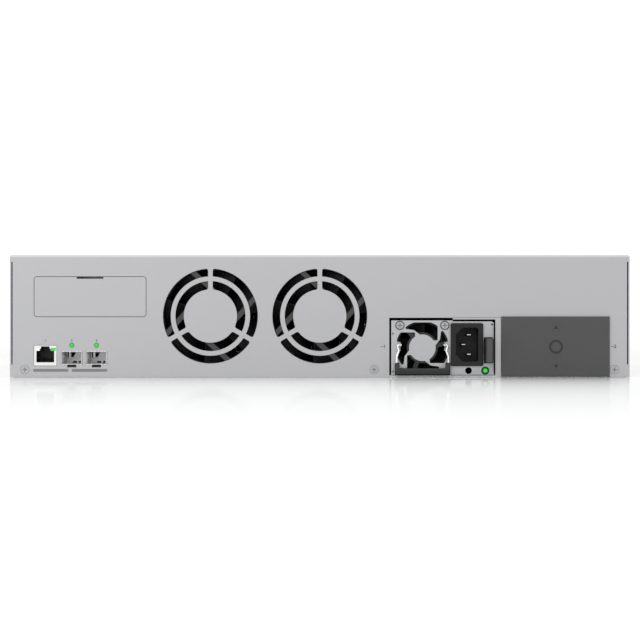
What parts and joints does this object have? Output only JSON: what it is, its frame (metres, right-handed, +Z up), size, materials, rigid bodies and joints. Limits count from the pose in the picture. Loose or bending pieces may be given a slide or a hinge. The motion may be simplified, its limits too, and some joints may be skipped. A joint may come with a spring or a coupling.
{
  "type": "rackmount network switch",
  "caption": "Rackmount network switch in a silver sheet-metal case, with rear exhaust fans, a hot-swap power supply and a blanked spare power bay.",
  "frame": {"origin": "centre of the chassis underside", "axes": "+X right seen from the port face, +Y towards the rear panel, +Z up"},
  "size_m": [0.442, 0.4121, 0.087],
  "materials": {
    "silver_coat": "fine-textured silver powder coat",
    "zinc_sheet": "bare zinc-plated sheet",
    "bright_nickel": "bright nickel plate",
    "screw_steel": "nickel-plated screw",
    "black_plastic": "matt black moulding",
    "dark_grey_plastic": "fine-textured dark grey moulding",
    "handle_plastic": "smooth charcoal moulding",
    "latch_plastic": "smooth mid-grey moulding",
    "white_plastic": "translucent white moulding",
    "green_lamp": "lit green lens",
    "circuit_board": "green solder mask",
    "aluminium_sink": "extruded aluminium",
    "copper_winding": "enamelled copper winding",
    "gold_contact": "gold-plated contact",
    "component_black": "moulded component package",
    "lead_black": "sleeved wire"
  },
  "bodies": {
    "chassis": {"base_tray": "zinc_sheet", "board_capacitors": "component_black", "board_connectors": "component_black", "board_screws": "screw_steel", "board_standoffs": "screw_steel", "chassis_screws": "screw_steel", "ear_nuts": "screw_steel", "expansion_card": "circuit_board", "expansion_pocket": "zinc_sheet", "expansion_socket": "component_black", "fan_1_frame": "black_plastic", "fan_1_stator": "copper_winding", "fan_2_frame": "black_plastic", "fan_2_stator": "copper_winding", "fan_bracket": "zinc_sheet", "fan_leads": "lead_black", "fan_screws": "screw_steel", "front_panel": "silver_coat", "front_sfp_cages": "bright_nickel", "heatsinks": "aluminium_sink", "intake_grille": "dark_grey_plastic", "io_board": "circuit_board", "main_board": "circuit_board", "mgmt_jack_insert": "black_plastic", "mgmt_jack_shield": "bright_nickel", "port_contacts": "gold_contact", "port_inserts": "black_plastic", "port_lamps": "white_plastic", "port_shields": "bright_nickel", "power_backplane": "circuit_board", "psu_cage": "zinc_sheet", "rear_panel": "silver_coat", "status_lamps": "white_plastic", "switch_chips": "component_black", "top_cover": "silver_coat", "uplink_cage_1": "bright_nickel", "uplink_cage_2": "bright_nickel", "uplink_light_pipes": "green_lamp"},
    "psu": {"psu_board": "circuit_board", "psu_case": "zinc_sheet", "psu_face_screws": "screw_steel", "psu_faceplate": "zinc_sheet", "psu_fan_frame": "black_plastic", "psu_fan_stator": "copper_winding", "psu_inlet": "handle_plastic", "psu_inlet_blades": "bright_nickel", "psu_lamp": "green_lamp", "psu_power_parts": "component_black"},
    "psu_fan_rotor": {"psu_fan_impeller": "black_plastic", "psu_fan_shaft": "screw_steel"},
    "fan_1_rotor": {"fan_1_impeller": "black_plastic", "fan_1_shaft": "screw_steel"},
    "fan_2_rotor": {"fan_2_impeller": "black_plastic", "fan_2_shaft": "screw_steel"},
    "psu_handle": {"psu_handle_wire": "bright_nickel", "psu_handle_grip": "handle_plastic"},
    "psu_latch": {"psu_latch": "latch_plastic"},
    "bay_blank": {"bay_blank": "dark_grey_plastic"},
    "expansion_cover": {"expansion_cover": "silver_coat"},
    "reset_button": {"reset_button": "black_plastic"}
  },
  "joints": [
    {"name": "fan_1_spin", "type": "hinge", "parent": "chassis", "child": "fan_1_rotor", "pos_m": [0, 0.186, 0.0435], "axis": [0, 1, 0], "continuous": true},
    {"name": "fan_2_spin", "type": "hinge", "parent": "chassis", "child": "fan_2_rotor", "pos_m": [0.078, 0.186, 0.0435], "axis": [0, 1, 0], "continuous": true},
    {"name": "psu_slide", "type": "slide", "parent": "chassis", "child": "psu", "axis": [0, 1, 0], "range_m": [0, 0.19]},
    {"name": "psu_fan_spin", "type": "hinge", "parent": "psu", "child": "psu_fan_rotor", "pos_m": [-0.07315, 0.19, 0.0209], "axis": [0, 1, 0], "continuous": true},
    {"name": "psu_handle_swing", "type": "hinge", "parent": "psu", "child": "psu_handle", "pos_m": [-0.07315, 0.2024, 0.0229], "axis": [1, 0, 0], "range_deg": [0, 115]},
    {"name": "psu_latch_press", "type": "hinge", "parent": "psu", "child": "psu_latch", "pos_m": [-0.1214, 0.15, 0.019], "axis": [0, 0, -1], "range_deg": [0, 2.5], "stiffness_Nm_per_rad": 0.5},
    {"name": "bay_blank_pull", "type": "slide", "parent": "chassis", "child": "bay_blank", "axis": [0, 1, 0], "range_m": [0, 0.04]},
    {"name": "expansion_cover_pull", "type": "slide", "parent": "chassis", "child": "expansion_cover", "axis": [0, 1, 0], "range_m": [0, 0.02]},
    {"name": "reset_press", "type": "slide", "parent": "chassis", "child": "reset_button", "axis": [0, 1, 0], "range_m": [0, 0.001], "stiffness_N_per_m": 400}
  ]
}
